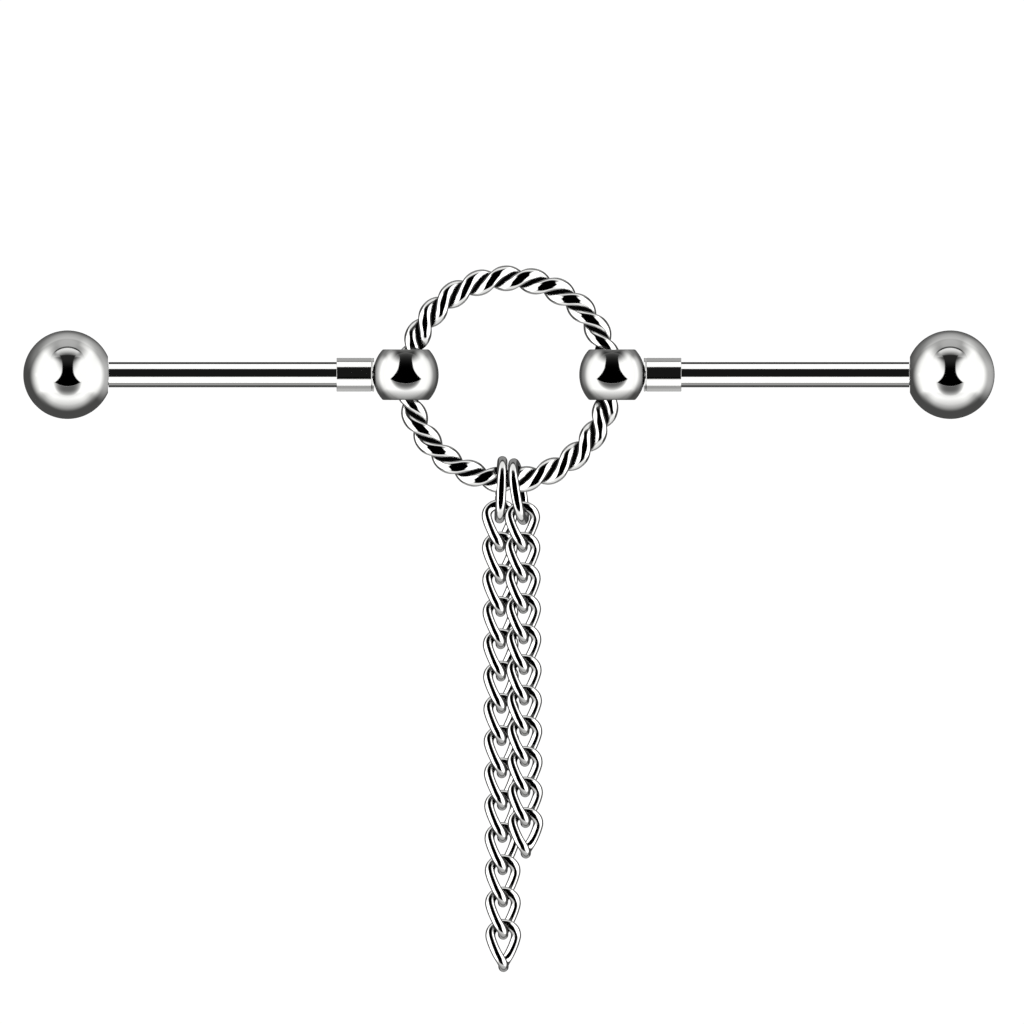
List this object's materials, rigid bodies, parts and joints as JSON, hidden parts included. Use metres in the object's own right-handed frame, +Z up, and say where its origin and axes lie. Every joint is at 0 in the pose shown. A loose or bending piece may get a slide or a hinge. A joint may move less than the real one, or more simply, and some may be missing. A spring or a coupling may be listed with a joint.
{
  "type": "industrial barbell",
  "caption": "Two-part industrial barbell for the ear: straight steel bars with screw balls, joined by drilled beads on a twisted wire ring, with curb chains hanging from jump rings.",
  "frame": {"origin": "middle of the free stretch of the left bar, on its axis, where the ear sits", "axes": "+X along both bars to the right, +Z up as worn, -Y towards the viewer"},
  "size_m": [0.046, 0.0042, 0.0335],
  "materials": {
    "ball_steel": "mirror-polished stainless steel",
    "bar_steel": "mirror-polished stainless steel, drawn along its length",
    "collar_steel": "polished stainless steel with faint turning marks",
    "bead_steel": "mirror-polished stainless steel",
    "ring_steel": "polished stainless steel wire",
    "chain_steel": "polished stainless steel wire"
  },
  "bodies": {
    "left_half": {"left_bar": "bar_steel", "left_collar": "collar_steel", "left_bead": "bead_steel"},
    "left_end": {"left_ball": "ball_steel"},
    "ring_and_chains": {"twisted_ring": "ring_steel", "left_jump_ring": "ring_steel", "right_jump_ring": "ring_steel", "long_chain_link_01": "chain_steel", "long_chain_link_02": "chain_steel", "long_chain_link_03": "chain_steel", "long_chain_link_04": "chain_steel", "long_chain_link_05": "chain_steel", "long_chain_link_06": "chain_steel", "long_chain_link_07": "chain_steel", "long_chain_link_08": "chain_steel", "long_chain_link_09": "chain_steel", "long_chain_link_10": "chain_steel", "long_chain_link_11": "chain_steel", "long_chain_link_12": "chain_steel", "long_chain_link_13": "chain_steel", "long_chain_link_14": "chain_steel", "short_chain_link_01": "chain_steel", "short_chain_link_02": "chain_steel", "short_chain_link_03": "chain_steel", "short_chain_link_04": "chain_steel", "short_chain_link_05": "chain_steel", "short_chain_link_06": "chain_steel", "short_chain_link_07": "chain_steel", "short_chain_link_08": "chain_steel", "short_chain_link_09": "chain_steel", "short_chain_link_10": "chain_steel", "short_chain_link_11": "chain_steel"},
    "right_half": {"right_bar": "bar_steel", "right_collar": "collar_steel", "right_bead": "bead_steel"},
    "right_end": {"right_ball": "ball_steel"}
  },
  "joints": [
    {"name": "left_ball_unscrew", "type": "slide", "parent": "left_half", "child": "left_end", "axis": [-1, 0, 0], "range_m": [0, 0.002]},
    {"name": "right_ball_unscrew", "type": "slide", "parent": "right_half", "child": "right_end", "axis": [1, 0, 0], "range_m": [0, 0.002]},
    {"name": "left_bead_swivel", "type": "hinge", "parent": "left_half", "child": "ring_and_chains", "pos_m": [0.00869, 0, 0], "axis": [0, 0, 1], "range_deg": [-90, 90]},
    {"name": "right_bead_swivel", "type": "hinge", "parent": "ring_and_chains", "child": "right_half", "pos_m": [0.01847, 0, 0], "axis": [0, 0, 1], "range_deg": [-90, 90]}
  ]
}
